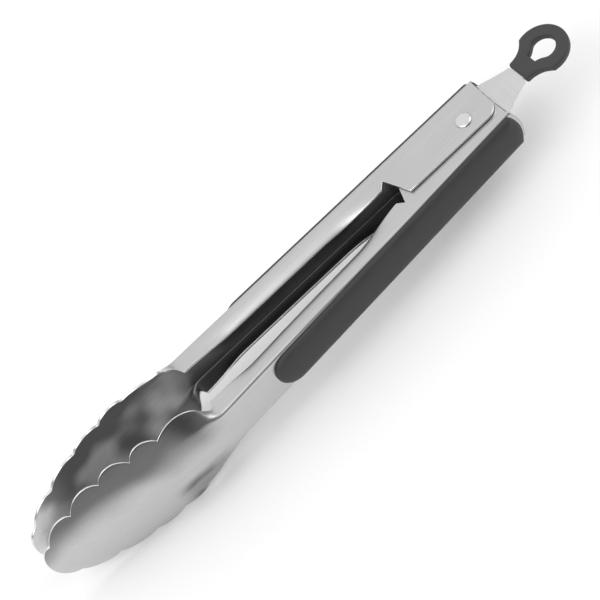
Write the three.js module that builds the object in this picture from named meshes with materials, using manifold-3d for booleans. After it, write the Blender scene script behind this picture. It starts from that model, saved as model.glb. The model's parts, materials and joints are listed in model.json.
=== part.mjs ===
// Spring loaded kitchen tongs with a pull tab lock, in millimetres, lying on their side.
// X runs along the tongs (tips at -X, hang loop at +X), Y from the lower arm to the upper arm,
// and Z along the pivot rivet. The pose is the locked one: tab out, tips a little apart.
// Each arm is drawn by station s (distance forward of the rivet) and depth (inwards from its back).
import * as THREE from "three";
import { mergeVertices } from "three/addons/utils/BufferGeometryUtils.js";
import Module from "manifold-3d";

const wasm = await Module();
wasm.setup();

// ---- driving dimensions ----
const TIP_S = 217; // rivet to the head tips
const TAIL_S = -12; // rivet to the arms' tail ends
const TAIL_BOW = 1.8; // how far the tail end of the back bows out
const BACK = 11.7; // rivet axis to each arm's back
const HALF_SPREAD = THREE.MathUtils.degToRad(2.2); // each arm's angle in the locked pose
const SHEET = 1.0; // thickness of the arms' sheet steel
const UPPER_HALF = 9.5; // outer half width of the upper arm's channel
const NEST_GAP = 0.35; // side clearance between the nested ears
const LOWER_HALF_FRONT = 9.4; // the lower arm's half width in front of the ears
const WALL_DEPTH = 8.0; // depth of the side walls along the handle
const EAR_DEPTH = 18.5;
const EAR_FRONT_S = 31;
const NOTCH_S = 35.7;
const NOTCH_DEPTH = 6.6;
const NOTCH_END_S = 38;
const NOTCH_END_DEPTH = 9.3;
const UPPER_EAR_CORNER = 5.5; // radius of the upper ears' rear corner
const LOWER_EAR_CORNER = 2.0; // radius of the lower ears' rear corner
const BEND = 1.5; // outer radius of the fold between back and wall
const WALL_LEAN = 47; // how far the handle walls lean inwards at their free edge, in degrees
const FLANK_FOLD = 4; // width of the fold between back and flank just past the step
const FLANK_ANGLE = 37; // the flank's slope there, in degrees

const HEAD_S = 135; // where the walls end in a small step and the scalloped head starts
const STEP_LENGTH = 2.2;
const STEP_DEPTH = 5; // wall left just past the step
const BOWL_RADIUS = 60; // cross radius of the head
const CURL_S = 128; // where the head's spine starts to curl inwards
const CURL_DEPTH = 15.2; // how far the tip is curled in
const SCALLOP_RISE = 3.6; // how far each scallop stands out from its notches
const TIP_NOTCH_S = 210.6;
// notches between the scallops, as [share of the head's length, half width there]
const NOTCHES = [
  [0, 12.2],
  [0.284, 19.5],
  [0.444, 20.4],
  [0.619, 21.2],
  [0.817, 17.7],
  [1, 11.2],
];

const SHANK_R = 2.0;
const RIVET_CLEARANCE = 0.3;
const RIVET_HEAD_R = 3.2;
const RIVET_HEAD_RISE = 0.9;
const RIVET_FLAT_R = 1.6;
const SEAT_GAP = 0.1; // between a piece and what it is fastened to

const GRIP_REAR_S = -10.8;
const GRIP_FRONT_S = 112;
const GRIP_HALF = 8.0;
const GRIP_THICKNESS = 3.0;
const GRIP_CORNER = 1.2; // corner radius at the straight rear end

const PLATE_THICKNESS = 1.1;
const PLATE_Z = 5.4; // lower face of the lock plate
const PLATE_HALF = 9.65;
const PLATE_FRONT_X = -8;
const PLATE_WIDE_X = 12; // where the flare starts
const TAB_HALF = 4.7;
const TANG_HALF = 3.4;
const TANG_LENGTH = 5;
const LOCK_TRAVEL = 9.3;
const SQUEEZE_TRAVEL = 1.3; // spare slot for squeezing the arms further shut
const SLOT_CLEARANCE = 0.2;

const LOOP_BASE_X = 25.9;
const LOOP_END_X = 48.3;
const LOOP_THICKNESS = 3.2;
const LOOP_BASE_HALF = 5.3;
const LOOP_HALF = 10.3;
const HOLE_HALF = 4.8;
const HOLE_LENGTH = 10.5;
const HOLE_FLAT_HALF = 2.0;
const HOLE_END_WALL = 4.8; // from the hole to the loop's far end
const LOOP_ROUND = 0.9; // edge rounding
const TANG_CLEARANCE = 0.3;

const WIRE_R = 0.9;
const COIL_R = 6.4; // coil radius at the wire's centre
const COIL_TURNS = 5;
const COIL_PITCH = 1.95;
const COIL_Z = -5.8; // wire centre of the coil's first turn
const LEG_REACH = 27;
const LEG_GAP = 0.3; // between a spring leg and the arm it bears on

// ---- small helpers ----
const { clamp, lerp, smoothstep, degToRad } = THREE.MathUtils;
const lowerHalfAtEars = UPPER_HALF - SHEET - NEST_GAP;

// A closed geometry from rings of points that all have the same count, capped at both ends.
// A ring runs out along one side and back along the other, so each cap is a strip across it.
function solidFromRings(rings) {
  const count = rings[0].length;
  const positions = rings.flat().flatMap((p) => [p.x, p.y, p.z]);
  const index = [];
  for (let r = 0; r + 1 < rings.length; r++) {
    for (let i = 0; i < count; i++) {
      const a = r * count + i;
      const b = r * count + ((i + 1) % count);
      index.push(a, b, a + count, b, b + count, a + count);
    }
  }
  const last = (rings.length - 1) * count;
  for (let i = 0; i < count / 2 - 1; i++) {
    const across = [i, i + 1, count - 2 - i, count - 1 - i];
    for (const [a, b, c] of [[0, 2, 1], [0, 3, 2]]) {
      index.push(across[a], across[b], across[c]);
      index.push(last + across[a], last + across[c], last + across[b]);
    }
  }
  const geometry = new THREE.BufferGeometry();
  geometry.setAttribute("position", new THREE.Float32BufferAttribute(positions, 3));
  geometry.setIndex(index);
  return geometry;
}

function toManifold(geometry) {
  const bare = geometry.clone();
  bare.deleteAttribute("normal");
  bare.deleteAttribute("uv");
  const merged = mergeVertices(bare, 1e-4);
  const vertProperties = merged.attributes.position.array;
  const triVerts = new Uint32Array(merged.index.array);
  return new wasm.Manifold(new wasm.Mesh({ numProp: 3, vertProperties, triVerts }));
}

function toGeometry(solid) {
  const mesh = solid.getMesh();
  const geometry = new THREE.BufferGeometry();
  geometry.setAttribute("position", new THREE.BufferAttribute(mesh.vertProperties, 3));
  geometry.setIndex(new THREE.BufferAttribute(mesh.triVerts, 1));
  return geometry.toNonIndexed();
}

function cylinderAlongZ(radius, length, sides) {
  return new THREE.CylinderGeometry(radius, radius, length, sides).rotateX(Math.PI / 2);
}

// ---- the arms ----
// Half width of the head's scalloped outline: circular lobes between the notches, then a round tip.
function headHalfWidth(s) {
  if (s > TIP_NOTCH_S) {
    const into = (s - TIP_NOTCH_S) / (TIP_S - TIP_NOTCH_S);
    return NOTCHES[NOTCHES.length - 1][1] * Math.sqrt(1 - into ** 2);
  }
  const along = clamp((s - HEAD_S) / (TIP_NOTCH_S - HEAD_S), 0, 1);
  const next = clamp(NOTCHES.findIndex(([share]) => share >= along), 1, NOTCHES.length - 1);
  const [shareA, halfA] = NOTCHES[next - 1];
  const [shareB, halfB] = NOTCHES[next];
  const t = (along - shareA) / (shareB - shareA);
  const halfChord = ((shareB - shareA) * (TIP_NOTCH_S - HEAD_S)) / 2;
  const rise = SCALLOP_RISE;
  const radius = (halfChord ** 2 + rise ** 2) / (2 * rise);
  const lobe = Math.sqrt(radius ** 2 - ((2 * t - 1) * halfChord) ** 2) - (radius - rise);
  return lerp(halfA, halfB, t) + lobe;
}

// How far the head's spine has left the line of the arm's back.
function spineDepth(s) {
  return CURL_DEPTH * Math.max(0, (s - CURL_S) / (TIP_S - CURL_S)) ** 2;
}

// Depth of the side wall's free edge along ears, notch and handle.
function wallDepth(s, cornerRadius) {
  const rear = -TAIL_S - cornerRadius;
  if (-s > rear) {
    const into = Math.min(-s - rear, cornerRadius);
    return EAR_DEPTH - cornerRadius + Math.sqrt(cornerRadius ** 2 - into ** 2);
  }
  if (s < EAR_FRONT_S) return EAR_DEPTH;
  if (s < NOTCH_S) return lerp(EAR_DEPTH, NOTCH_DEPTH, (s - EAR_FRONT_S) / (NOTCH_S - EAR_FRONT_S));
  if (s < NOTCH_END_S) {
    return lerp(NOTCH_DEPTH, NOTCH_END_DEPTH, (s - NOTCH_S) / (NOTCH_END_S - NOTCH_S));
  }
  return lerp(NOTCH_END_DEPTH, WALL_DEPTH, smoothstep(s, NOTCH_END_S, NOTCH_END_S + 30));
}

// The arm's outer half width before its walls fold.
function channelHalf(s, earHalf, frontHalf) {
  return lerp(earHalf, frontHalf, smoothstep(s, NOTCH_END_S, NOTCH_END_S + 60));
}

const FOLD_COLUMNS = 4; // spaces along the fold in a section
const WALL_COLUMNS = 4; // spaces along the wall or flank

// The folded channel across one half: flat back, fold, then a wall that may lean inwards.
function channelSection(s, arm) {
  const half = channelHalf(s, arm.earHalf, arm.frontHalf);
  const past = smoothstep(s, HEAD_S - STEP_LENGTH / 2, HEAD_S + STEP_LENGTH / 2);
  const edge = lerp(wallDepth(s, arm.earCorner), STEP_DEPTH, past);
  const leaning = smoothstep(s, NOTCH_S, NOTCH_S + 25) * (1 - smoothstep(s, HEAD_S - 22, HEAD_S - 2));
  const lean = Math.max(degToRad(WALL_LEAN) * leaning, 1e-6);
  const radius = WALL_DEPTH / lean;
  const tilt = Math.asin((edge - BEND) / radius);
  const points = [{ z: 0, depth: 0, turn: 0 }];
  for (let i = 0; i <= FOLD_COLUMNS; i++) {
    const turn = ((i / FOLD_COLUMNS) * Math.PI) / 2;
    points.push({ z: half - BEND + BEND * Math.sin(turn), depth: BEND * (1 - Math.cos(turn)), turn });
  }
  for (let i = 1; i <= WALL_COLUMNS; i++) {
    const at = (tilt * i) / WALL_COLUMNS;
    const z = half - radius * (1 - Math.cos(at));
    points.push({ z, depth: BEND + radius * Math.sin(at), turn: Math.PI / 2 + at });
  }
  return points;
}

// The head just past the step: flat back, shallow fold, then a straight sloping flank.
function flankSection(s, arm) {
  const angle = degToRad(FLANK_ANGLE);
  const radius = FLANK_FOLD / angle;
  const flat = arm.frontHalf - BEND;
  const points = [{ z: 0, depth: 0, turn: 0 }];
  for (let i = 0; i <= FOLD_COLUMNS; i++) {
    const turn = (i / FOLD_COLUMNS) * angle;
    points.push({ z: flat + radius * Math.sin(turn), depth: radius * (1 - Math.cos(turn)), turn });
  }
  const start = points[points.length - 1];
  const reach = headHalfWidth(s) - start.z;
  for (let i = 1; i <= WALL_COLUMNS; i++) {
    const out = (reach * i) / WALL_COLUMNS;
    points.push({ z: start.z + out, depth: start.depth + out * Math.tan(angle), turn: angle });
  }
  return points;
}

// The head further on: an even shallow bowl.
function bowlSection(s) {
  const edge = Math.asin(headHalfWidth(s) / BOWL_RADIUS);
  const spaces = 1 + FOLD_COLUMNS + WALL_COLUMNS;
  return Array.from({ length: spaces + 1 }, (_, i) => {
    const turn = (edge * i) / spaces;
    return { z: BOWL_RADIUS * Math.sin(turn), depth: BOWL_RADIUS * (1 - Math.cos(turn)), turn };
  });
}

function mixSections(a, b, share) {
  return a.map((p, i) => ({
    z: lerp(p.z, b[i].z, share),
    depth: lerp(p.depth, b[i].depth, share),
    turn: lerp(p.turn, b[i].turn, share),
  }));
}

// One half section from centre to free edge: points of z, depth and turning angle.
function halfSection(s, arm) {
  const opened = smoothstep(s, HEAD_S - STEP_LENGTH / 2, HEAD_S + 6);
  const bowled = smoothstep(s, HEAD_S + 2, HEAD_S + 26);
  const head = mixSections(flankSection(s, arm), bowlSection(s), bowled);
  return mixSections(channelSection(s, arm), head, opened);
}

function stationList(cornerRadius) {
  const list = [];
  const rear = TAIL_S + cornerRadius;
  const cornerPoints = Math.round(1 + cornerRadius);
  for (let i = 0; i <= cornerPoints; i++) {
    list.push(rear - cornerRadius * Math.cos(((i / cornerPoints) * Math.PI) / 2));
  }
  list.push(EAR_FRONT_S, NOTCH_S, NOTCH_END_S);
  for (const s of [44, 50, 56, 63, 88, HEAD_S - 22, HEAD_S - 17, HEAD_S - 12, HEAD_S - 7, HEAD_S - 3]) {
    list.push(s);
  }
  const stepStart = HEAD_S - STEP_LENGTH / 2;
  for (let i = 0; i < 4; i++) list.push(stepStart + (STEP_LENGTH * i) / 3);
  for (let k = 1; k < NOTCHES.length; k++) {
    const lobePoints = k === 1 ? 7 : 6;
    for (let i = 1; i <= lobePoints; i++) {
      const t = (1 - Math.cos((i * Math.PI) / lobePoints)) / 2;
      const share = lerp(NOTCHES[k - 1][0], NOTCHES[k][0], t);
      const s = lerp(HEAD_S, TIP_NOTCH_S, share);
      if (s > list[list.length - 1] + 0.3) list.push(s);
    }
  }
  const tipPoints = 7;
  for (let i = 1; i <= tipPoints; i++) {
    list.push(lerp(TIP_NOTCH_S, TIP_S, Math.sin((i / (tipPoints + 0.6)) * (Math.PI / 2))));
  }
  return list;
}

// Outer and inner surface points across one station. The tail end of the back bows out rearwards.
function armRow(s, arm) {
  const section = halfSection(s, arm);
  const edgeZ = section[section.length - 1].z;
  const bow = TAIL_BOW * (1 - smoothstep(s, TAIL_S, TAIL_S + 9));
  const slope = (spineDepth(s + 0.1) - spineDepth(s - 0.1)) / 0.2;
  const half = section.map(({ z, depth, turn }) => {
    const rearward = bow * (1 - Math.min(1, z / edgeZ) ** 2);
    const outer = new THREE.Vector3(-s + rearward, depth + spineDepth(s), z);
    const normal = new THREE.Vector3(slope, 1, 0).normalize().multiplyScalar(Math.cos(turn));
    normal.z = -Math.sin(turn);
    return { outer, inner: outer.clone().addScaledVector(normal.normalize(), SHEET) };
  });
  const flip = (p) => new THREE.Vector3(p.x, p.y, -p.z);
  const outer = [...half.slice(1).reverse().map((h) => flip(h.outer)), ...half.map((h) => h.outer)];
  const inner = [...half.slice(1).reverse().map((h) => flip(h.inner)), ...half.map((h) => h.inner)];
  return [...outer, ...inner.reverse()];
}

function armGeometry(arm) {
  const rows = stationList(arm.earCorner).map((s) => armRow(s, arm));
  const body = toManifold(solidFromRings(rows).translate(0, -BACK, 0));
  const bore = toManifold(cylinderAlongZ(SHANK_R + RIVET_CLEARANCE, 4 * UPPER_HALF, 20));
  return toGeometry(body.subtract(bore));
}

// ---- grips ----
// Half of the outline runs from the front's middle to the rear's, and the other half mirrors it.
function gripOutline(inset) {
  const half = GRIP_HALF - inset;
  const centre = GRIP_FRONT_S - GRIP_HALF;
  const corner = Math.max(GRIP_CORNER - inset, 0.1);
  const points = [];
  for (let i = 0; i < 6; i++) {
    const angle = ((i + 0.5) * Math.PI) / 11;
    points.push([centre + half * Math.cos(angle), half * Math.sin(angle)]);
  }
  for (let i = 0; i <= 2; i++) {
    const angle = (i * Math.PI) / 4;
    const s = GRIP_REAR_S + inset + corner - corner * Math.sin(angle);
    points.push([s, half - corner + corner * Math.cos(angle)]);
  }
  for (let i = 1; i <= 3; i++) {
    const out = 1 - i / 3.5;
    points.push([GRIP_REAR_S + inset - TAIL_BOW * (1 - out ** 2), (half - corner) * out]);
  }
  return [...points, ...points.toReversed().map(([s, z]) => [s, -z])];
}

function gripGeometry() {
  const levels = [
    [6.2, GRIP_THICKNESS],
    [4.2, 2.85],
    [2.4, 2.5],
    [1.1, 2.0],
    [0.35, 1.5],
    [0, 0.9],
    [0, 0],
  ];
  const rings = levels.map(([inset, rise]) =>
    gripOutline(inset).map(([s, z]) => new THREE.Vector3(-s, -BACK - SEAT_GAP - rise, z)),
  );
  return solidFromRings(rings);
}

// ---- rivet ----
function rivetGeometry() {
  const seat = UPPER_HALF + SEAT_GAP;
  const top = seat + RIVET_HEAD_RISE;
  const mid = lerp(RIVET_FLAT_R, RIVET_HEAD_R, 0.62);
  const profile = [
    [0, -top],
    [RIVET_FLAT_R, -top],
    [mid, -top + 0.25],
    [RIVET_HEAD_R, -seat - 0.25],
    [RIVET_HEAD_R, -seat],
    [SHANK_R, -seat],
    [SHANK_R, seat],
    [RIVET_HEAD_R, seat],
    [RIVET_HEAD_R, seat + 0.25],
    [mid, top - 0.25],
    [RIVET_FLAT_R, top],
    [0, top],
  ].map(([r, z]) => new THREE.Vector2(r, z));
  return new THREE.LatheGeometry(profile, 24).rotateX(Math.PI / 2);
}

// ---- lock plate and hang loop ----
function lockPlateGeometry() {
  const shape = new THREE.Shape();
  const corner = 2.5;
  shape.moveTo(PLATE_FRONT_X + corner, -PLATE_HALF);
  shape.lineTo(PLATE_WIDE_X, -PLATE_HALF);
  shape.quadraticCurveTo(lerp(PLATE_WIDE_X, LOOP_BASE_X, 0.72), -TAB_HALF - 0.7, LOOP_BASE_X - 0.4, -TAB_HALF);
  shape.lineTo(LOOP_BASE_X - 0.4, -TANG_HALF);
  shape.lineTo(LOOP_BASE_X + TANG_LENGTH, -TANG_HALF);
  shape.lineTo(LOOP_BASE_X + TANG_LENGTH, TANG_HALF);
  shape.lineTo(LOOP_BASE_X - 0.4, TANG_HALF);
  shape.lineTo(LOOP_BASE_X - 0.4, TAB_HALF);
  shape.quadraticCurveTo(lerp(PLATE_WIDE_X, LOOP_BASE_X, 0.72), TAB_HALF + 0.7, PLATE_WIDE_X, PLATE_HALF);
  shape.lineTo(PLATE_FRONT_X + corner, PLATE_HALF);
  shape.absarc(PLATE_FRONT_X + corner, PLATE_HALF - corner, corner, Math.PI / 2, Math.PI, false);
  shape.absarc(PLATE_FRONT_X + corner, -PLATE_HALF + corner, corner, Math.PI, 1.5 * Math.PI, false);
  const slotR = SHANK_R + SLOT_CLEARANCE;
  const slot = new THREE.Path();
  slot.absarc(LOCK_TRAVEL, 0, slotR, -Math.PI / 2, Math.PI / 2, false);
  slot.absarc(-SQUEEZE_TRAVEL, 0, slotR, Math.PI / 2, 1.5 * Math.PI, false);
  shape.holes.push(slot);
  const options = { depth: PLATE_THICKNESS, bevelEnabled: false, curveSegments: 8 };
  return new THREE.ExtrudeGeometry(shape, options).translate(0, 0, PLATE_Z);
}

// The bevel adds LOOP_ROUND all round, so the outline is drawn that much smaller.
function loopShape() {
  const ringX = LOOP_END_X - LOOP_HALF;
  const base = LOOP_BASE_HALF - LOOP_ROUND;
  const ring = LOOP_HALF - LOOP_ROUND;
  const start = LOOP_BASE_X + LOOP_ROUND;
  const shoulder = degToRad(106);
  const shoulderX = ringX + ring * Math.cos(shoulder);
  const shoulderY = ring * Math.sin(shoulder);
  const shape = new THREE.Shape();
  shape.moveTo(start, -base);
  shape.bezierCurveTo(start + 4.5, -base - 0.1, shoulderX - 1.6, -shoulderY + 2.2, shoulderX, -shoulderY);
  shape.absarc(ringX, 0, ring, -shoulder, shoulder, false);
  shape.bezierCurveTo(shoulderX - 1.6, shoulderY - 2.2, start + 4.5, base + 0.1, start, base);
  shape.closePath();
  const hole = new THREE.Path();
  const wide = HOLE_HALF + LOOP_ROUND;
  const holeX = LOOP_END_X - HOLE_END_WALL - HOLE_HALF;
  const flatX = LOOP_END_X - HOLE_END_WALL - HOLE_LENGTH - LOOP_ROUND;
  const flat = HOLE_FLAT_HALF + LOOP_ROUND / 2;
  hole.moveTo(flatX, -flat);
  hole.lineTo(flatX, flat);
  hole.bezierCurveTo(flatX + 3, flat + 0.7, holeX - 2.4, wide, holeX, wide);
  hole.absarc(holeX, 0, wide, Math.PI / 2, -Math.PI / 2, true);
  hole.bezierCurveTo(holeX - 2.4, -wide, flatX + 3, -flat - 0.7, flatX, -flat);
  shape.holes.push(hole);
  return shape;
}

function hangLoopGeometry() {
  const options = {
    depth: LOOP_THICKNESS - 2 * LOOP_ROUND,
    bevelThickness: LOOP_ROUND,
    bevelSize: LOOP_ROUND,
    bevelSegments: 2,
    curveSegments: 8,
  };
  const middle = PLATE_Z + PLATE_THICKNESS / 2;
  const base = new THREE.ExtrudeGeometry(loopShape(), options);
  base.translate(0, 0, middle - LOOP_THICKNESS / 2 + LOOP_ROUND);
  const pocket = new THREE.BoxGeometry(
    2 * (TANG_LENGTH + TANG_CLEARANCE),
    2 * (TANG_HALF + TANG_CLEARANCE),
    PLATE_THICKNESS + 2 * TANG_CLEARANCE,
  ).translate(LOOP_BASE_X, 0, middle);
  return toGeometry(toManifold(base).subtract(toManifold(pocket)));
}

// ---- torsion spring ----
class SpringCurve extends THREE.Curve {
  constructor() {
    super();
    // Each leg leaves the coil on a tangent and reaches the back of its own arm.
    const reachY = BACK + LEG_REACH * Math.tan(HALF_SPREAD) - SHEET - LEG_GAP - WIRE_R;
    this.lean = Math.asin((reachY - COIL_R) / LEG_REACH);
    this.coilAngle = 2 * Math.PI * COIL_TURNS - Math.PI + 2 * this.lean;
    this.legLength = LEG_REACH;
    this.coilLength = this.coilAngle * COIL_R;
    this.total = this.coilLength + 2 * this.legLength;
  }
  coilPoint(angle) {
    const start = Math.PI / 2 - this.lean;
    const z = COIL_Z + (angle / (2 * Math.PI)) * COIL_PITCH;
    return new THREE.Vector3(
      COIL_R * Math.cos(start - angle),
      COIL_R * Math.sin(start - angle),
      z,
    );
  }
  getPoint(t, target = new THREE.Vector3()) {
    const along = t * this.total;
    if (along < this.legLength) {
      const out = this.legLength - along;
      const direction = new THREE.Vector3(-Math.cos(this.lean), Math.sin(this.lean), 0);
      return target.copy(this.coilPoint(0)).addScaledVector(direction, out);
    }
    if (along > this.legLength + this.coilLength) {
      const out = along - this.legLength - this.coilLength;
      const direction = new THREE.Vector3(-Math.cos(this.lean), -Math.sin(this.lean), 0);
      return target.copy(this.coilPoint(this.coilAngle)).addScaledVector(direction, out);
    }
    return target.copy(this.coilPoint((along - this.legLength) / COIL_R));
  }
}

function torsionSpringGeometry() {
  const section = new THREE.Shape();
  section.absarc(0, 0, WIRE_R, 0, 2 * Math.PI, false);
  const curve = new SpringCurve();
  return new THREE.ExtrudeGeometry(section, { steps: 100, curveSegments: 6, extrudePath: curve });
}

// ---- materials ----
function steel(name, color, roughness) {
  return new THREE.MeshStandardMaterial({ name, color, roughness, metalness: 1 });
}

function softPlastic(name, color) {
  return new THREE.MeshStandardMaterial({ name, color, roughness: 0.6, metalness: 0 });
}

function mesh(name, geometry, material) {
  const made = new THREE.Mesh(geometry, material);
  made.name = name;
  geometry.computeVertexNormals();
  return made;
}

// ---- assembly ----
function armGroup(prefix, arm) {
  const group = new THREE.Group();
  group.add(mesh(`${prefix}_arm`, armGeometry(arm), steel("brushed_steel", 0xc9c9c7, 0.35)));
  group.add(mesh(`${prefix}_grip`, gripGeometry(), softPlastic("soft_grip", 0x4a4a4a)));
  return group;
}

const lower = armGroup("lower", {
  earHalf: lowerHalfAtEars,
  frontHalf: LOWER_HALF_FRONT,
  earCorner: LOWER_EAR_CORNER,
});
lower.rotation.z = HALF_SPREAD;

const upper = armGroup("upper", {
  earHalf: UPPER_HALF,
  frontHalf: UPPER_HALF,
  earCorner: UPPER_EAR_CORNER,
});
upper.rotation.x = Math.PI;
upper.rotation.z = -HALF_SPREAD;
upper.rotation.order = "ZXY";

const group = new THREE.Group();
group.add(lower, upper);
group.add(mesh("pivot_rivet", rivetGeometry(), steel("rivet_steel", 0xd8d8d6, 0.25)));
group.add(mesh("torsion_spring", torsionSpringGeometry(), steel("spring_steel", 0xa8a8a8, 0.3)));
group.add(mesh("lock_plate", lockPlateGeometry(), steel("plate_steel", 0xd0d0ce, 0.35)));
group.add(mesh("hang_loop", hangLoopGeometry(), softPlastic("loop_plastic", 0x505050)));

// The origin is the middle of the footprint, with the lowest point at Z = 0.
const box = new THREE.Box3().setFromObject(group, true);
const middle = box.getCenter(new THREE.Vector3());
group.position.set(-middle.x, -middle.y, -box.min.z);

export default group;
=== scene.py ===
import json
import math

import bmesh
import bpy
from mathutils import Matrix, Vector


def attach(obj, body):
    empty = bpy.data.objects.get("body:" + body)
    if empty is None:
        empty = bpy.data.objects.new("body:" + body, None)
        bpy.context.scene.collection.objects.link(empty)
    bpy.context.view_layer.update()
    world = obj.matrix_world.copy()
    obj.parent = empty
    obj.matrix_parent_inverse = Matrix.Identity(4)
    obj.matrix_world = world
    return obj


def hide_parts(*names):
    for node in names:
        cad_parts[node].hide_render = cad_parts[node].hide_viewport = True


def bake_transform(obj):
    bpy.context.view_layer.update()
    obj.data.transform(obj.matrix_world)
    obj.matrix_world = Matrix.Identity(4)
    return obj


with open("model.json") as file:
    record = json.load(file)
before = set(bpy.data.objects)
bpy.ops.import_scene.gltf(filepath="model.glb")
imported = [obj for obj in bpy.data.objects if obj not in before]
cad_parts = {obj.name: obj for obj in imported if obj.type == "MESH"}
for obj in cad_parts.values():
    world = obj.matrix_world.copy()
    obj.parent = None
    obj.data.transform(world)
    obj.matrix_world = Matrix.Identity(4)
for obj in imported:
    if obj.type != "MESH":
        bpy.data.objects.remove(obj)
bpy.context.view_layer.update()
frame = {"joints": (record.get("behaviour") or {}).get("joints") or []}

MM = 0.001
PIVOT = Vector(next(j for j in frame["joints"] if j["name"] == "arm_hinge")["pos_m"])
HALF_SPREAD = math.radians(2.2)

# ---- sizes, the same as the CAD's ----
TIP_S = 217.0
TAIL_S = -12.0
BACK = 11.7
TAIL_BOW = 1.8
SHEET = 1.0
UPPER_HALF = 9.5
NEST_GAP = 0.35
LOWER_HALF_FRONT = 9.4
WALL_DEPTH = 8.0
EAR_DEPTH = 18.5
EAR_FRONT_S = 31.0
NOTCH_S = 35.7
NOTCH_DEPTH = 6.6
NOTCH_END_S = 38.0
NOTCH_END_DEPTH = 9.3
UPPER_EAR_CORNER = 5.5
LOWER_EAR_CORNER = 2.0
BEND = 1.5
WALL_LEAN = math.radians(47)
FLANK_FOLD = 4.0
FLANK_ANGLE = math.radians(37)
HEAD_S = 135.0
STEP_LENGTH = 2.2
STEP_DEPTH = 5.0
BOWL_RADIUS = 60.0
CURL_S = 128.0
CURL_DEPTH = 15.2
SCALLOP_RISE = 3.6
TIP_NOTCH_S = 210.6
NOTCHES = ((0, 12.2), (0.284, 19.5), (0.444, 20.4), (0.619, 21.2), (0.817, 17.7), (1, 11.2))

SHANK_R = 2.0
RIVET_HEAD_R = 3.2
RIVET_HEAD_RISE = 0.9
SEAT_GAP = 0.1

GRIP_REAR_S = -10.8
GRIP_FRONT_S = 112.0
GRIP_HALF = 8.0
GRIP_THICKNESS = 3.0
GRIP_CORNER = 1.2

PLATE_THICKNESS = 1.1
PLATE_Z = 5.4
PLATE_HALF = 9.65
PLATE_FRONT_X = -8.0
PLATE_WIDE_X = 12.0
PLATE_CORNER = 2.5
TAB_HALF = 4.7
TANG_HALF = 3.4
TANG_LENGTH = 5.0
LOCK_TRAVEL = 9.3
SQUEEZE_TRAVEL = 1.3
SLOT_CLEARANCE = 0.2

LOOP_BASE_X = 25.9
LOOP_END_X = 48.3
LOOP_THICKNESS = 3.2
LOOP_BASE_HALF = 5.3
LOOP_HALF = 10.3
HOLE_HALF = 4.8
HOLE_LENGTH = 10.5
HOLE_FLAT_HALF = 2.0
HOLE_END_WALL = 4.8
LOOP_ROUND = 0.9

WIRE_R = 0.9
COIL_R = 6.4
COIL_TURNS = 5
COIL_PITCH = 1.95
COIL_Z = -5.8
LEG_REACH = 27.0
LEG_GAP = 0.3

# ---- how the sections change along an arm, as distances along it ----
TAIL_BOW_REACH = 9  # the tail's bow fades out over this
WALL_SETTLE = 30  # from the notch's end until the wall has its even depth
WIDTH_SETTLE = 60  # from the notch's end until the channel has its front width
LEAN_IN = 25  # from the notch until the walls have their full lean
LEAN_OUT = (22, 2)  # the lean goes between these, behind the head
HEAD_OPENS = 6  # the channel has opened into the head by here
BOWL_FORMS = (2, 26)  # the flanks turn into the bowl between these, past the head's start
SLOPE_STEP = 0.1

# ---- how finely the meshes are drawn ----
FLAT_COLUMNS = 6  # spaces across the flat of the back
FOLD_COLUMNS = 8  # spaces along the fold in a section
WALL_COLUMNS = 10  # spaces along the wall or flank
CORNER_ROWS = 12
FIRST_LOBE_ROWS = 36
LOBE_ROWS = 24
TIP_ROWS = 26
LEAST_ROW_GAP = 0.04
RIM = 0.22  # rounding of the sheet's cut edges
RIM_STEPS = (0.3, 0.65, 1.0)
RIM_POINTS = 4  # ring points on each side of a cut edge

# inset and rise of each level of a pad, from its middle down to its seat
GRIP_LEVELS = (
    (7.0, GRIP_THICKNESS), (6.0, 2.97), (5.0, 2.91), (4.0, 2.82), (3.1, 2.68), (2.3, 2.48),
    (1.6, 2.24), (1.05, 1.97), (0.6, 1.68), (0.28, 1.36), (0.08, 1.02), (0.0, 0.7), (0.0, 0.0),
)

RIVET_EDGE = 0.12  # upright part of the rivet head's rim
RIVET_DIMPLE = 0.16
RIVET_SIDES = 64
WIRE_SIDES = 14
LEG_POINTS = 14
COIL_POINTS = 220
LOOP_SHOULDER = math.radians(106)
TAB_STEP = 0.4  # the tab's shoulders stop this far behind the loop

# ---- sharp edges start at these angles, in degrees ----
ARM_CREASE = 42
PAD_CREASE = 50
RIVET_CREASE = 40
PLATE_CREASE = 38
WIRE_CREASE = 50


def lerp(a, b, t):
    return a + (b - a) * t


def clamp(x, low, high):
    return max(low, min(high, x))


def smoothstep(x, low, high):
    t = clamp((x - low) / (high - low), 0.0, 1.0)
    return t * t * (3 - 2 * t)


def place(x, y, z):
    """A point of the pivot's frame in millimetres, as a point of the row frame in metres."""
    return PIVOT + Vector((x, y, z)) * MM


# ---- meshes ----
def add_to_scene(name, data):
    made = bpy.data.objects.new(name, data)
    bpy.context.scene.collection.objects.link(made)
    return made


def clean_mesh(data, merge=0.0):
    """Turns every face outwards, after merging points that lie closer than merge."""
    bm = bmesh.new()
    bm.from_mesh(data)
    if merge:
        bmesh.ops.remove_doubles(bm, verts=bm.verts, dist=merge)
    bmesh.ops.recalc_face_normals(bm, faces=bm.faces)
    bm.to_mesh(data)
    bm.free()


def new_object(name, vertices, faces, smooth=True):
    data = bpy.data.meshes.new(name)
    data.from_pydata([tuple(v) for v in vertices], [], faces)
    data.validate()
    made = add_to_scene(name, data)
    clean_mesh(data)
    if smooth:
        data.polygons.foreach_set("use_smooth", [True] * len(data.polygons))
    return made


def sharpen(piece, degrees):
    """Marks the edges that turn by more than that angle, so smooth shading stops at them."""
    piece.data.set_sharp_from_angle(angle=math.radians(degrees))


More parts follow.
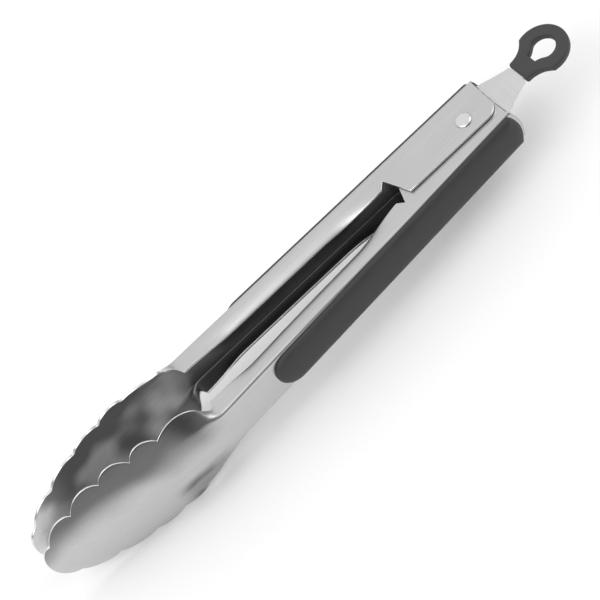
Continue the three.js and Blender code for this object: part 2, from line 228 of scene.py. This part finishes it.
def loft(name, rings):
    """A solid through closed rings of equal count. Each ring runs out along one side and back along
    the other, so each cap is a strip of quads across it."""
    count = len(rings[0])
    vertices = [p for ring in rings for p in ring]
    faces = []
    for r in range(len(rings) - 1):
        for i in range(count):
            j = (i + 1) % count
            a = r * count
            faces.append((a + i, a + j, a + count + j, a + count + i))
    last = (len(rings) - 1) * count
    for i in range(count // 2 - 1):
        strip = (i, i + 1, count - 2 - i, count - 1 - i)
        faces.append(tuple(reversed(strip)))
        faces.append(tuple(last + k for k in strip))
    return new_object(name, vertices, faces)


# ---- the arms ----
def head_half_width(s):
    """Half width of the head's outline: circular lobes between the notches, then a round tip."""
    if s > TIP_NOTCH_S:
        into = min((s - TIP_NOTCH_S) / (TIP_S - TIP_NOTCH_S), 1.0)
        return NOTCHES[-1][1] * math.sqrt(1 - into**2)
    along = clamp((s - HEAD_S) / (TIP_NOTCH_S - HEAD_S), 0.0, 1.0)
    k = next(i for i, (share, _) in enumerate(NOTCHES) if share >= along)
    k = max(k, 1)
    share_a, half_a = NOTCHES[k - 1]
    share_b, half_b = NOTCHES[k]
    t = (along - share_a) / (share_b - share_a)
    half_chord = (share_b - share_a) * (TIP_NOTCH_S - HEAD_S) / 2
    radius = (half_chord**2 + SCALLOP_RISE**2) / (2 * SCALLOP_RISE)
    lobe = math.sqrt(radius**2 - ((2 * t - 1) * half_chord) ** 2) - (radius - SCALLOP_RISE)
    return lerp(half_a, half_b, t) + lobe


def spine_depth(s):
    return CURL_DEPTH * max(0.0, (s - CURL_S) / (TIP_S - CURL_S)) ** 2


def wall_depth(s, corner):
    rear = -TAIL_S - corner
    if -s > rear:
        into = min(-s - rear, corner)
        return EAR_DEPTH - corner + math.sqrt(corner**2 - into**2)
    if s < EAR_FRONT_S:
        return EAR_DEPTH
    if s < NOTCH_S:
        return lerp(EAR_DEPTH, NOTCH_DEPTH, (s - EAR_FRONT_S) / (NOTCH_S - EAR_FRONT_S))
    if s < NOTCH_END_S:
        return lerp(NOTCH_DEPTH, NOTCH_END_DEPTH, (s - NOTCH_S) / (NOTCH_END_S - NOTCH_S))
    return lerp(NOTCH_END_DEPTH, WALL_DEPTH, smoothstep(s, NOTCH_END_S, NOTCH_END_S + WALL_SETTLE))


def flat_columns(reach):
    return [(reach * i / FLAT_COLUMNS, 0.0, 0.0) for i in range(FLAT_COLUMNS)]


def channel_section(s, arm):
    """The folded channel across one half: flat back, fold, then a wall that may lean inwards."""
    ear_half, front_half, corner = arm
    half = lerp(ear_half, front_half, smoothstep(s, NOTCH_END_S, NOTCH_END_S + WIDTH_SETTLE))
    past = smoothstep(s, HEAD_S - STEP_LENGTH / 2, HEAD_S + STEP_LENGTH / 2)
    edge = lerp(wall_depth(s, corner), STEP_DEPTH, past)
    lean_gone = smoothstep(s, HEAD_S - LEAN_OUT[0], HEAD_S - LEAN_OUT[1])
    leaning = smoothstep(s, NOTCH_S, NOTCH_S + LEAN_IN) * (1 - lean_gone)
    lean = max(WALL_LEAN * leaning, 1e-6)
    radius = WALL_DEPTH / lean
    tilt = math.asin((edge - BEND) / radius)
    points = flat_columns(half - BEND)
    for i in range(FOLD_COLUMNS + 1):
        turn = i / FOLD_COLUMNS * math.pi / 2
        points.append((half - BEND + BEND * math.sin(turn), BEND * (1 - math.cos(turn)), turn))
    for i in range(1, WALL_COLUMNS + 1):
        at = tilt * i / WALL_COLUMNS
        z = half - radius * (1 - math.cos(at))
        points.append((z, BEND + radius * math.sin(at), math.pi / 2 + at))
    return points


def flank_section(s, arm):
    """The head just past the step: flat back, shallow fold, then a straight sloping flank."""
    flat = arm[1] - BEND
    radius = FLANK_FOLD / FLANK_ANGLE
    points = flat_columns(flat)
    for i in range(FOLD_COLUMNS + 1):
        turn = i / FOLD_COLUMNS * FLANK_ANGLE
        points.append((flat + radius * math.sin(turn), radius * (1 - math.cos(turn)), turn))
    start_z, start_depth, _ = points[-1]
    reach = head_half_width(s) - start_z
    for i in range(1, WALL_COLUMNS + 1):
        out = reach * i / WALL_COLUMNS
        points.append((start_z + out, start_depth + out * math.tan(FLANK_ANGLE), FLANK_ANGLE))
    return points


def bowl_section(s):
    """The head further on: an even shallow bowl."""
    edge = math.asin(head_half_width(s) / BOWL_RADIUS)
    spaces = FLAT_COLUMNS + FOLD_COLUMNS + WALL_COLUMNS
    turns = [edge * i / spaces for i in range(spaces + 1)]
    return [(BOWL_RADIUS * math.sin(t), BOWL_RADIUS * (1 - math.cos(t)), t) for t in turns]


def mix_sections(a, b, share):
    return [tuple(lerp(u, v, share) for u, v in zip(p, q)) for p, q in zip(a, b)]


def half_section(s, arm):
    opened = smoothstep(s, HEAD_S - STEP_LENGTH / 2, HEAD_S + HEAD_OPENS)
    bowled = smoothstep(s, HEAD_S + BOWL_FORMS[0], HEAD_S + BOWL_FORMS[1])
    head = mix_sections(flank_section(s, arm), bowl_section(s), bowled)
    return mix_sections(channel_section(s, arm), head, opened)


def arm_row(s, arm, thin=0.0):
    """One ring of the arm in the arm's own frame. thin takes that much off each face."""
    section = half_section(s, arm)
    edge_z = section[-1][0]
    bow = TAIL_BOW * (1 - smoothstep(s, TAIL_S, TAIL_S + TAIL_BOW_REACH))
    slope = (spine_depth(s + SLOPE_STEP) - spine_depth(s - SLOPE_STEP)) / (2 * SLOPE_STEP)
    outer = []
    inner = []
    for z, depth, turn in section:
        rearward = bow * (1 - min(1.0, z / edge_z) ** 2)
        at = Vector((rearward - s, depth + spine_depth(s), z))
        flat = Vector((slope, 1, 0)).normalized() * math.cos(turn)
        normal = Vector((flat.x, flat.y, -math.sin(turn))).normalized()
        outer.append(at + normal * thin)
        inner.append(at + normal * (SHEET - thin))
    # The free edge: its corners are rounded by short steps in from each face.
    run = (outer[-1] - outer[-2]).normalized()
    across = (inner[-1] - outer[-1]).normalized()
    edge_outer, edge_inner = outer[-1], inner[-1]
    outer[-1] = edge_outer - run * RIM
    inner[-1] = edge_inner - run * RIM
    for step in RIM_STEPS:
        angle = step * math.pi / 2
        back = run * (-RIM * (1 - math.sin(angle)))
        outer.append(edge_outer + back + across * (RIM * (1 - math.cos(angle))))
        inner.append(edge_inner + back - across * (RIM * (1 - math.cos(angle))))

    def flip(p):
        return Vector((p.x, p.y, -p.z))

    out_side = [flip(p) for p in reversed(outer[1:])] + outer
    in_side = [flip(p) for p in reversed(inner[1:])] + inner
    return out_side + list(reversed(in_side))


def station_list(corner):
    rear = TAIL_S + corner
    stations = []
    for i in range(CORNER_ROWS + 1):
        stations.append(rear - corner * math.cos(i / CORNER_ROWS * math.pi / 2))
    spans = (
        (rear, EAR_FRONT_S, 8),
        (EAR_FRONT_S, NOTCH_S, 5),
        (NOTCH_S, NOTCH_END_S, 4),
        (NOTCH_END_S, NOTCH_END_S + WALL_SETTLE, 14),
        (NOTCH_END_S + WALL_SETTLE, HEAD_S - 24, 10),
        (HEAD_S - 24, HEAD_S - STEP_LENGTH / 2, 22),
        (HEAD_S - STEP_LENGTH / 2, HEAD_S + STEP_LENGTH / 2, 8),
    )
    for low, high, count in spans:
        stations += [lerp(low, high, i / count) for i in range(1, count + 1)]
    for k in range(1, len(NOTCHES)):
        lobe_points = FIRST_LOBE_ROWS if k == 1 else LOBE_ROWS
        for i in range(1, lobe_points + 1):
            t = (1 - math.cos(i * math.pi / lobe_points)) / 2
            s = lerp(HEAD_S, TIP_NOTCH_S, lerp(NOTCHES[k - 1][0], NOTCHES[k][0], t))
            if s > stations[-1] + LEAST_ROW_GAP:
                stations.append(s)
    for i in range(1, TIP_ROWS + 1):
        share = math.sin(i / (TIP_ROWS + 0.5) * math.pi / 2)
        stations.append(lerp(TIP_NOTCH_S, TIP_S, share))
    return stations


def build_arm(name, arm, matrix):
    stations = station_list(arm[2])
    rows = [arm_row(stations[0], arm, thin=RIM), arm_row(stations[0] + RIM, arm)]
    rows += [arm_row(s, arm) for s in stations[1:]]
    rings = [[place(*(matrix @ (p - Vector((0, BACK, 0))))) for p in row] for row in rows]
    piece = loft(name, rings)
    sharpen(piece, ARM_CREASE)
    # The inside of the channel and bowl takes the second material, a darker steel for painted shade,
    # and the cut edge the third, a lighter steel for a painted highlight.
    count = len(rings[0])
    for face in piece.data.polygons:
        ring_points = [k % count for k in face.vertices]
        first_edge = all(min(k, count - 1 - k) < RIM_POINTS for k in ring_points)
        second_edge = all(abs(k - count // 2 + 0.5) < RIM_POINTS for k in ring_points)
        inside = all(k >= count // 2 for k in ring_points)
        face.material_index = 2 if first_edge or second_edge else int(inside)
    return piece


lower_matrix = Matrix.Rotation(HALF_SPREAD, 3, "Z")
upper_matrix = Matrix.Rotation(-HALF_SPREAD, 3, "Z") @ Matrix.Rotation(math.pi, 3, "X")
lower_shape = (UPPER_HALF - SHEET - NEST_GAP, LOWER_HALF_FRONT, LOWER_EAR_CORNER)
upper_shape = (UPPER_HALF, UPPER_HALF, UPPER_EAR_CORNER)


# ---- grips ----
def grip_outline(inset):
    half = GRIP_HALF - inset
    centre = GRIP_FRONT_S - GRIP_HALF
    corner = max(GRIP_CORNER - inset, 0.1)
    side = []
    front_points = 18
    for i in range(front_points):
        angle = (i + 0.5) * math.pi / (2 * front_points)
        side.append((centre + half * math.cos(angle), half * math.sin(angle)))
    long_points = 20
    rear = GRIP_REAR_S + inset + corner
    for i in range(1, long_points):
        side.append((lerp(centre, rear, i / long_points), half))
    for i in range(6):
        angle = i * math.pi / 10
        side.append((rear - corner * math.sin(angle), half - corner + corner * math.cos(angle)))
    end_points = 8
    for i in range(1, end_points + 1):
        out = 1 - i / (end_points + 0.5)
        bowed = GRIP_REAR_S + inset - TAIL_BOW * (1 - out**2)
        side.append((bowed, (half - corner) * out))
    return side + [(s, -z) for s, z in reversed(side)]


def build_grip(name, matrix):
    rings = []
    for inset, rise in GRIP_LEVELS:
        points = [Vector((-s, -BACK - SEAT_GAP - rise, z)) for s, z in grip_outline(inset)]
        rings.append([place(*(matrix @ p)) for p in points])
    piece = loft(name, rings)
    sharpen(piece, PAD_CREASE)
    return piece


# ---- rivet ----
def build_rivet(name):
    seat = UPPER_HALF + SEAT_GAP
    dome = []
    steps = 14
    for i in range(steps + 1):
        angle = i / steps * math.pi / 2
        r = RIVET_HEAD_R * math.sin(angle)
        rise = (RIVET_HEAD_RISE - RIVET_EDGE) * math.cos(angle) ** 0.9
        dimple = RIVET_DIMPLE * (1 - smoothstep(r, 0.5, 1.4))
        dome.append((r, seat + RIVET_EDGE + rise - dimple))
    half = dome + [(RIVET_HEAD_R, seat + 0.05), (RIVET_HEAD_R - 0.05, seat), (SHANK_R, seat)]
    profile = half + [(r, -z) for r, z in reversed(half)]
    sides = RIVET_SIDES
    vertices = []
    for r, z in profile[1:-1]:
        for k in range(sides):
            angle = 2 * math.pi * k / sides
            vertices.append(place(r * math.cos(angle), r * math.sin(angle), z))
    rows = len(profile) - 2
    faces = []
    for j in range(rows - 1):
        for k in range(sides):
            a, b = j * sides + k, j * sides + (k + 1) % sides
            faces.append((a, b, b + sides, a + sides))
    top = len(vertices)
    vertices += [place(0, 0, profile[0][1]), place(0, 0, profile[-1][1])]
    for k in range(sides):
        faces.append((top, (k + 1) % sides, k))
        low = (rows - 1) * sides
        faces.append((top + 1, low + k, low + (k + 1) % sides))
    piece = new_object(name, vertices, faces)
    sharpen(piece, RIVET_CREASE)
    return piece


# ---- flat pieces, from outlines ----
def flat_piece(name, outline, hole, thickness, bevel, middle_z, bevel_steps):
    """A plate with rounded edges whose outermost outline is the one given."""
    curve = bpy.data.curves.new(name + "_outline", "CURVE")
    curve.dimensions = "2D"
    curve.fill_mode = "BOTH"
    for points in (outline, hole):
        spline = curve.splines.new("POLY")
        spline.points.add(len(points) - 1)
        for point, (x, y) in zip(spline.points, points):
            point.co = (x * MM, y * MM, 0, 1)
        spline.use_cyclic_u = True
    curve.offset = -bevel * MM
    curve.extrude = (thickness / 2 - bevel) * MM
    curve.bevel_depth = bevel * MM
    curve.bevel_resolution = bevel_steps
    helper = add_to_scene(name + "_outline", curve)
    bpy.context.view_layer.update()
    graph = bpy.context.evaluated_depsgraph_get()
    data = bpy.data.meshes.new_from_object(helper.evaluated_get(graph))
    bpy.data.objects.remove(helper)
    bpy.data.curves.remove(curve)
    data.transform(Matrix.Translation(place(0, 0, middle_z)))
    data.name = name
    clean_mesh(data, merge=1e-6)
    piece = add_to_scene(name, data)
    data.polygons.foreach_set("use_smooth", [True] * len(data.polygons))
    sharpen(piece, PLATE_CREASE)
    return piece


def arc(cx, cy, radius, start, end, steps):
    angles = [lerp(start, end, i / steps) for i in range(steps + 1)]
    return [(cx + radius * math.cos(a), cy + radius * math.sin(a)) for a in angles]


def quadratic(a, b, c, steps):
    points = []
    for i in range(1, steps + 1):
        t = i / steps
        u, v, w = (1 - t) ** 2, 2 * t * (1 - t), t * t
        points.append((u * a[0] + v * b[0] + w * c[0], u * a[1] + v * b[1] + w * c[1]))
    return points


def cubic(a, b, c, d, steps):
    points = []
    for i in range(1, steps + 1):
        t = i / steps
        k = ((1 - t) ** 3, 3 * t * (1 - t) ** 2, 3 * t * t * (1 - t), t**3)
        points.append(tuple(sum(w * p[n] for w, p in zip(k, (a, b, c, d))) for n in (0, 1)))
    return points


def mirrored(points):
    return [(x, -y) for x, y in reversed(points)]


def build_plate(name):
    corner = PLATE_CORNER
    bend_x = lerp(PLATE_WIDE_X, LOOP_BASE_X, 0.72)
    shoulder = (LOOP_BASE_X - TAB_STEP, TAB_HALF)
    upper = [(LOOP_BASE_X + TANG_LENGTH, TANG_HALF), (LOOP_BASE_X - TAB_STEP, TANG_HALF), shoulder]
    upper += quadratic(shoulder, (bend_x, TAB_HALF + 0.7), (PLATE_WIDE_X, PLATE_HALF), 20)
    front = (PLATE_FRONT_X + corner, PLATE_HALF - corner)
    upper += arc(*front, corner, math.pi / 2, math.pi, 12)
    slot_r = SHANK_R + SLOT_CLEARANCE
    slot = arc(LOCK_TRAVEL, 0, slot_r, -math.pi / 2, math.pi / 2, 16)
    slot += arc(-SQUEEZE_TRAVEL, 0, slot_r, math.pi / 2, 1.5 * math.pi, 16)
    middle = PLATE_Z + PLATE_THICKNESS / 2
    return flat_piece(name, upper + mirrored(upper), slot, PLATE_THICKNESS, 0.15, middle, 2)


def build_loop(name):
    ring_x = LOOP_END_X - LOOP_HALF
    shoulder_x = ring_x + LOOP_HALF * math.cos(LOOP_SHOULDER)
    shoulder_y = LOOP_HALF * math.sin(LOOP_SHOULDER)
    half = arc(ring_x, 0, LOOP_HALF, 0, LOOP_SHOULDER, 40)
    end = (shoulder_x, shoulder_y)
    neck_end = (LOOP_BASE_X + 1.0, LOOP_BASE_HALF)
    half += cubic(end, (shoulder_x - 1.6, shoulder_y - 2.2), (LOOP_BASE_X + 5.4, LOOP_BASE_HALF + 0.1),
                  neck_end, 24)
    half += arc(LOOP_BASE_X + 1.0, LOOP_BASE_HALF - 1.0, 1.0, math.pi / 2, math.pi, 6)
    hole_x = LOOP_END_X - HOLE_END_WALL - HOLE_HALF
    flat_x = LOOP_END_X - HOLE_END_WALL - HOLE_LENGTH
    inside = arc(hole_x, 0, HOLE_HALF, 0, math.pi / 2, 24)
    inside += cubic((hole_x, HOLE_HALF), (hole_x - 2.4, HOLE_HALF),
                    (flat_x + 3, HOLE_FLAT_HALF + 0.7), (flat_x, HOLE_FLAT_HALF), 16)
    middle = PLATE_Z + PLATE_THICKNESS / 2
    outline = half + mirrored(half)[:-1]
    hole = inside + mirrored(inside)[:-1]
    return flat_piece(name, outline, hole, LOOP_THICKNESS, LOOP_ROUND, middle, 5)


# ---- torsion spring ----
def spring_path():
    reach_y = BACK + LEG_REACH * math.tan(HALF_SPREAD) - SHEET - LEG_GAP - WIRE_R
    lean = math.asin((reach_y - COIL_R) / LEG_REACH)
    coil_angle = 2 * math.pi * COIL_TURNS - math.pi + 2 * lean

    def coil_point(angle):
        at = math.pi / 2 - lean - angle
        z = COIL_Z + angle / (2 * math.pi) * COIL_PITCH
        return Vector((COIL_R * math.cos(at), COIL_R * math.sin(at), z))

    first = coil_point(0)
    away = Vector((-math.cos(lean), math.sin(lean), 0))
    path = [first + away * (LEG_REACH * (1 - i / LEG_POINTS)) for i in range(LEG_POINTS)]
    path += [coil_point(coil_angle * i / COIL_POINTS) for i in range(COIL_POINTS + 1)]
    last = coil_point(coil_angle)
    away = Vector((-math.cos(lean), -math.sin(lean), 0))
    path += [last + away * (LEG_REACH * i / LEG_POINTS) for i in range(1, LEG_POINTS + 1)]
    return path


def build_spring(name):
    path = spring_path()
    rings = []
    for i, point in enumerate(path):
        before = path[max(i - 1, 0)]
        after = path[min(i + 1, len(path) - 1)]
        along = (after - before).normalized()
        side = Vector((0, 0, 1)).cross(along).normalized()
        up = along.cross(side)
        scale = 0.8 if i in (0, len(path) - 1) else 1.0
        ring = []
        for k in range(WIRE_SIDES):
            angle = 2 * math.pi * k / WIRE_SIDES
            offset = side * math.cos(angle) + up * math.sin(angle)
            ring.append(place(*(point + offset * (WIRE_R * scale))))
        rings.append(ring)
    piece = loft(name, rings)
    sharpen(piece, WIRE_CREASE)
    return piece


# ---- materials ----
class Shader:
    """A node tree with a Principled shader, and short calls for the nodes that feed it."""

    def __init__(self, name):
        self.material = bpy.data.materials.new(name)
        self.material.use_nodes = True
        self.tree = self.material.node_tree
        self.surface = self.tree.nodes["Principled BSDF"]
        self.position = self.node("ShaderNodeTexCoord").outputs["Object"]

    def node(self, kind, **settings):
        made = self.tree.nodes.new(kind)
        for key, value in settings.items():
            setattr(made, key, value)
        return made

    def link(self, source, target):
        self.tree.links.new(source, target)

    def feed(self, value, socket):
        """Sets the socket to a number, or links it to another node's output."""
        if isinstance(value, (int, float)):
            socket.default_value = value
        else:
            self.link(value, socket)

    def set(self, **values):
        for key, value in values.items():
            self.surface.inputs[key.replace("_", " ")].default_value = value

    def stretched(self, scale):
        """Object coordinates multiplied by a scale for each axis."""
        mapping = self.node("ShaderNodeMapping")
        mapping.inputs["Scale"].default_value = scale
        self.link(self.position, mapping.inputs["Vector"])
        return mapping.outputs["Vector"]

    def noise(self, vector, scale, detail=3.0, roughness=0.55):
        made = self.node("ShaderNodeTexNoise")
        made.inputs["Scale"].default_value = scale
        made.inputs["Detail"].default_value = detail
        made.inputs["Roughness"].default_value = roughness
        self.link(vector, made.inputs["Vector"])
        return made.outputs["Fac"]

    def span(self, value, low, high, to_low, to_high):
        made = self.node("ShaderNodeMapRange")
        for key, number in (("From Min", low), ("From Max", high)):
            made.inputs[key].default_value = number
        for key, number in (("To Min", to_low), ("To Max", to_high)):
            made.inputs[key].default_value = number
        self.link(value, made.inputs["Value"])
        return made.outputs["Result"]

    def smooth(self, value, low, high, to_low, to_high):
        """Like span, with soft ends, and clamped."""
        result = self.span(value, low, high, to_low, to_high)
        result.node.interpolation_type = "SMOOTHSTEP"
        return result

    def axis(self, letter):
        """One object coordinate."""
        split = self.node("ShaderNodeSeparateXYZ")
        self.link(self.position, split.inputs["Vector"])
        return split.outputs[letter]

    def blend(self, share, a, b):
        """a where share is 0, b where it is 1."""
        made = self.node("ShaderNodeMix", data_type="FLOAT")
        self.link(share, made.inputs[0])
        self.feed(a, made.inputs[2])
        self.feed(b, made.inputs[3])
        return made.outputs[0]

    def ramp(self, value, stops):
        made = self.node("ShaderNodeValToRGB")
        ramp = made.color_ramp
        while len(ramp.elements) < len(stops):
            ramp.elements.new(0.5)
        for element, (position, color) in zip(ramp.elements, stops):
            element.position = position
            element.color = (*color, 1)
        self.link(value, made.inputs["Fac"])
        return made.outputs["Color"]

    def math(self, operation, a, b):
        made = self.node("ShaderNodeMath", operation=operation)
        self.feed(a, made.inputs[0])
        self.feed(b, made.inputs[1])
        return made.outputs["Value"]

    def bump(self, height, strength, distance):
        made = self.node("ShaderNodeBump")
        made.inputs["Strength"].default_value = strength
        made.inputs["Distance"].default_value = distance
        self.link(height, made.inputs["Height"])
        self.link(made.outputs["Normal"], self.surface.inputs["Normal"])

    def grey(self, value, low, high):
        """Base colour between two greys."""
        self.link(self.ramp(value, ((0.3, (low,) * 3), (0.7, (high,) * 3))),
                  self.surface.inputs["Base Color"])


def brushed_steel(name, scale, low, high, rough_low, rough_high, bump, cloud=None):
    """Sheet steel with fine scratches along the axis that has the smallest scale.
    cloud(s) may return a factor for the base colour; the arms use it for painted reflections."""
    s = Shader(name)
    fine = s.noise(s.stretched(scale), 1.0, 4.0, 0.6)
    coarse = s.noise(s.stretched(tuple(k * 0.22 for k in scale)), 1.0, 2.0, 0.5)
    stain = s.noise(s.position, 26.0, 2.0, 0.5)
    streak = s.math("ADD", s.math("MULTIPLY", fine, 0.6), s.math("MULTIPLY", coarse, 0.4))
    tone = s.math("ADD", s.math("MULTIPLY", streak, 0.8), s.math("MULTIPLY", stain, 0.2))
    value = s.span(tone, 0.3, 0.7, low, high)
    if cloud:
        value = s.math("MULTIPLY", value, cloud(s))
    s.link(value, s.surface.inputs["Base Color"])
    rough = s.span(streak, 0.3, 0.7, rough_low, rough_high)
    s.link(rough, s.surface.inputs["Roughness"])
    s.bump(streak, bump, 0.00002)
    s.set(Metallic=1.0)
    return s.material


HEAD_X = PIVOT.x - HEAD_S * MM
MIDDLE_Z = PIVOT.z


def head_share(s):
    """0 along the handle, 1 on the head, from the row frame's X."""
    return s.smooth(s.axis("X"), HEAD_X + 0.003, HEAD_X - 0.012, 0.0, 1.0)


def outer_painted_reflections(s):
    """Tones on the head's outside that stand for a studio's reflections: dim along its upper
    flank, and in patches on its lower flank near the neck."""
    wander = s.span(s.noise(s.position, 38.0, 1.0), 0.3, 0.7, -0.004, 0.004)
    rise = s.math("ADD", s.axis("Z"), wander)
    upper = s.smooth(rise, MIDDLE_Z, MIDDLE_Z + 0.016, 1.0, 0.28)
    near_neck = s.smooth(s.axis("X"), HEAD_X - 0.034, HEAD_X - 0.024, 0.0, 1.0)
    reflection_patches = s.smooth(s.noise(s.position, 70.0, 1.0), 0.42, 0.58, 0.25, 0.62)
    lower = s.smooth(rise, MIDDLE_Z - 0.005, MIDDLE_Z - 0.012, 0.0, 1.0)
    patched = s.blend(s.math("MULTIPLY", lower, near_neck), 1.0, reflection_patches)
    return s.blend(head_share(s), 1.0, s.math("MULTIPLY", upper, patched))


def inner_painted_reflections(s):
    """Painted reflections on the bowls' insides: brighter than the channel, in soft patches, and
    brightest by the tip."""
    patch = s.smooth(s.noise(s.position, 40.0, 1.5), 0.38, 0.62, 0.85, 3.0)
    tip = s.smooth(s.axis("X"), HEAD_X - 0.052, HEAD_X - 0.068, 1.0, 1.9)
    return s.blend(head_share(s), 1.0, s.math("MULTIPLY", patch, tip))


def moulded(name, low, high, grain_scale, grain_bump, roughness):
    """Charcoal moulding with a fine eroded grain and slight rubbing on its high spots."""
    s = Shader(name)
    grain = s.noise(s.position, grain_scale, 2.0, 0.5)
    cloud = s.noise(s.position, 60.0, 3.0, 0.5)
    tone = s.math("ADD", s.math("MULTIPLY", grain, 0.35), s.math("MULTIPLY", cloud, 0.65))
    s.grey(tone, low, high)
    s.link(s.span(cloud, 0.3, 0.7, roughness - 0.05, roughness + 0.06), s.surface.inputs["Roughness"])
    s.bump(grain, grain_bump, 0.00003)
    s.set(Metallic=0.0)
    s.surface.inputs["Specular IOR Level"].default_value = 0.4
    return s.material


ALONG_X = (90.0, 5200.0, 5200.0)  # noise scale of scratches that run along the arms
# The arms' outer steel carries painted reflections on the head's outside: a dim upper flank and dark
# patches near the neck.
arm_steel = brushed_steel(
    "arm_steel_look", ALONG_X, 0.50, 0.60, 0.27, 0.37, 0.25, outer_painted_reflections)
# The insides of the arms take a much darker steel: painted shade, with painted reflections on the
# bowls.
shaded_inner_steel = brushed_steel(
    "inner_steel_look", ALONG_X, 0.16, 0.24, 0.30, 0.42, 0.25, inner_painted_reflections)
# The cut edges take a lighter steel: a painted highlight along the rims.
rim_highlight_steel = brushed_steel("rim_steel_look", (400.0, 400.0, 400.0), 0.74, 0.84, 0.22, 0.30, 0.05)
plate_steel = brushed_steel("plate_steel_look", (5200.0, 200.0, 5200.0), 0.58, 0.68, 0.26, 0.36, 0.2)
rivet_steel = brushed_steel("rivet_steel_look", (600.0, 600.0, 600.0), 0.66, 0.72, 0.16, 0.22, 0.03)
spring_steel = brushed_steel("spring_steel_look", (2500.0, 2500.0, 700.0), 0.30, 0.42, 0.25, 0.38, 0.2)
grip_rubber = moulded("grip_rubber_look", 0.030, 0.042, 9000.0, 0.35, 0.56)
loop_plastic = moulded("loop_plastic_look", 0.036, 0.050, 6500.0, 0.3, 0.5)


# ---- pieces ----
def finish_piece(piece, materials, body, node):
    for look in materials:
        piece.data.materials.append(look)
    if body:
        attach(piece, body)
    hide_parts(node)
    return piece


ARM_PIECES = (
    ("upper", upper_shape, upper_matrix),
    ("lower", lower_shape, lower_matrix),
)
for side, shape, matrix in ARM_PIECES:
    body = f"{side}_arm_body"
    sheet = build_arm(f"{side}_arm_sheet", shape, matrix)
    finish_piece(sheet, (arm_steel, shaded_inner_steel, rim_highlight_steel), body, f"{side}_arm")
    pad = build_grip(f"{side}_grip_pad", matrix)
    finish_piece(pad, (grip_rubber,), body, f"{side}_grip")

rivet = build_rivet("rivet")
finish_piece(rivet, (rivet_steel,), "upper_arm_body", "pivot_rivet")
plate = build_plate("slide_plate")
finish_piece(plate, (plate_steel,), "lock_body", "lock_plate")
loop = build_loop("loop_tab")
finish_piece(loop, (loop_plastic,), "lock_body", "hang_loop")
spring = build_spring("spring_wire")
finish_piece(spring, (spring_steel,), None, "torsion_spring")
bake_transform(spring)

# ---- stage ----
FLOOR_SIZE = 6.0
floor = new_object(
    "floor",
    [(-FLOOR_SIZE, -FLOOR_SIZE, 0), (FLOOR_SIZE, -FLOOR_SIZE, 0),
     (FLOOR_SIZE, FLOOR_SIZE, 0), (-FLOOR_SIZE, FLOOR_SIZE, 0)],
    [(0, 1, 2, 3)],
    smooth=False,
)
floor_look = Shader("floor_look")
floor_look.set(Base_Color=(0.92, 0.92, 0.92, 1), Roughness=0.9)
floor.data.materials.append(floor_look.material)

# ---- camera ----
TILT = math.radians(38)
TARGET_MM = Vector((-86.2, 2.2, 0))
DISTANCE_MM = 755
SENSOR_WIDTH = 36
LENS = 126
toward = Vector((0, -math.sin(TILT), math.cos(TILT)))
across_view = Vector((0, math.cos(TILT), math.sin(TILT)))
right = (Vector((1, 0, 0)) - across_view) / math.sqrt(2)
up = (Vector((1, 0, 0)) + across_view) / math.sqrt(2)
camera_data = bpy.data.cameras.new("camera")
camera_data.sensor_width = SENSOR_WIDTH
camera_data.lens = LENS
camera_data.clip_end = 50
camera = add_to_scene("camera", camera_data)
turned = Matrix((right, up, toward)).transposed()
eye = place(*(TARGET_MM + toward * DISTANCE_MM))
camera.matrix_world = Matrix.Translation(eye) @ turned.to_4x4()
bpy.context.scene.camera = camera


# ---- lights ----
def soft_light(name, offset_mm, size, power):
    """A square lamp at an offset from the middle of the tongs, facing it."""
    data = bpy.data.lights.new(name, "AREA")
    data.shape = "SQUARE"
    data.size = size
    data.energy = power
    lamp = add_to_scene(name, data)
    middle = place(*TARGET_MM)
    lamp.location = middle + Vector(offset_mm) * MM
    lamp.rotation_euler = (middle - lamp.location).to_track_quat("-Z", "Y").to_euler()
    return lamp


soft_light("key", (-1000, -500, 1300), 1.6, 14)
soft_light("fill", (1300, -300, 1000), 1.2, 7)

world = bpy.data.worlds.new("studio")
bpy.context.scene.world = world
world.use_nodes = True
nodes, links = world.node_tree.nodes, world.node_tree.links
backdrop = nodes["Background"]
coordinate = nodes.new("ShaderNodeTexCoord")
split = nodes.new("ShaderNodeSeparateXYZ")
links.new(coordinate.outputs["Generated"], split.inputs["Vector"])
# The sky is bright overhead and behind the tongs, and dim in front of them near the horizon.
lean_back = nodes.new("ShaderNodeMath")
lean_back.operation = "MULTIPLY_ADD"
lean_back.inputs[1].default_value = 0.45
links.new(split.outputs["Y"], lean_back.inputs[0])
links.new(split.outputs["Z"], lean_back.inputs[2])
height = nodes.new("ShaderNodeMapRange")
height.interpolation_type = "SMOOTHSTEP"
for key, number in (("From Min", -0.1), ("From Max", 1.0), ("To Min", 0.16), ("To Max", 1.0)):
    height.inputs[key].default_value = number
links.new(lean_back.outputs["Value"], height.inputs["Value"])
links.new(height.outputs["Result"], backdrop.inputs["Color"])
backdrop.inputs["Strength"].default_value = 1.0
bpy.context.scene.view_settings.view_transform = "Standard"
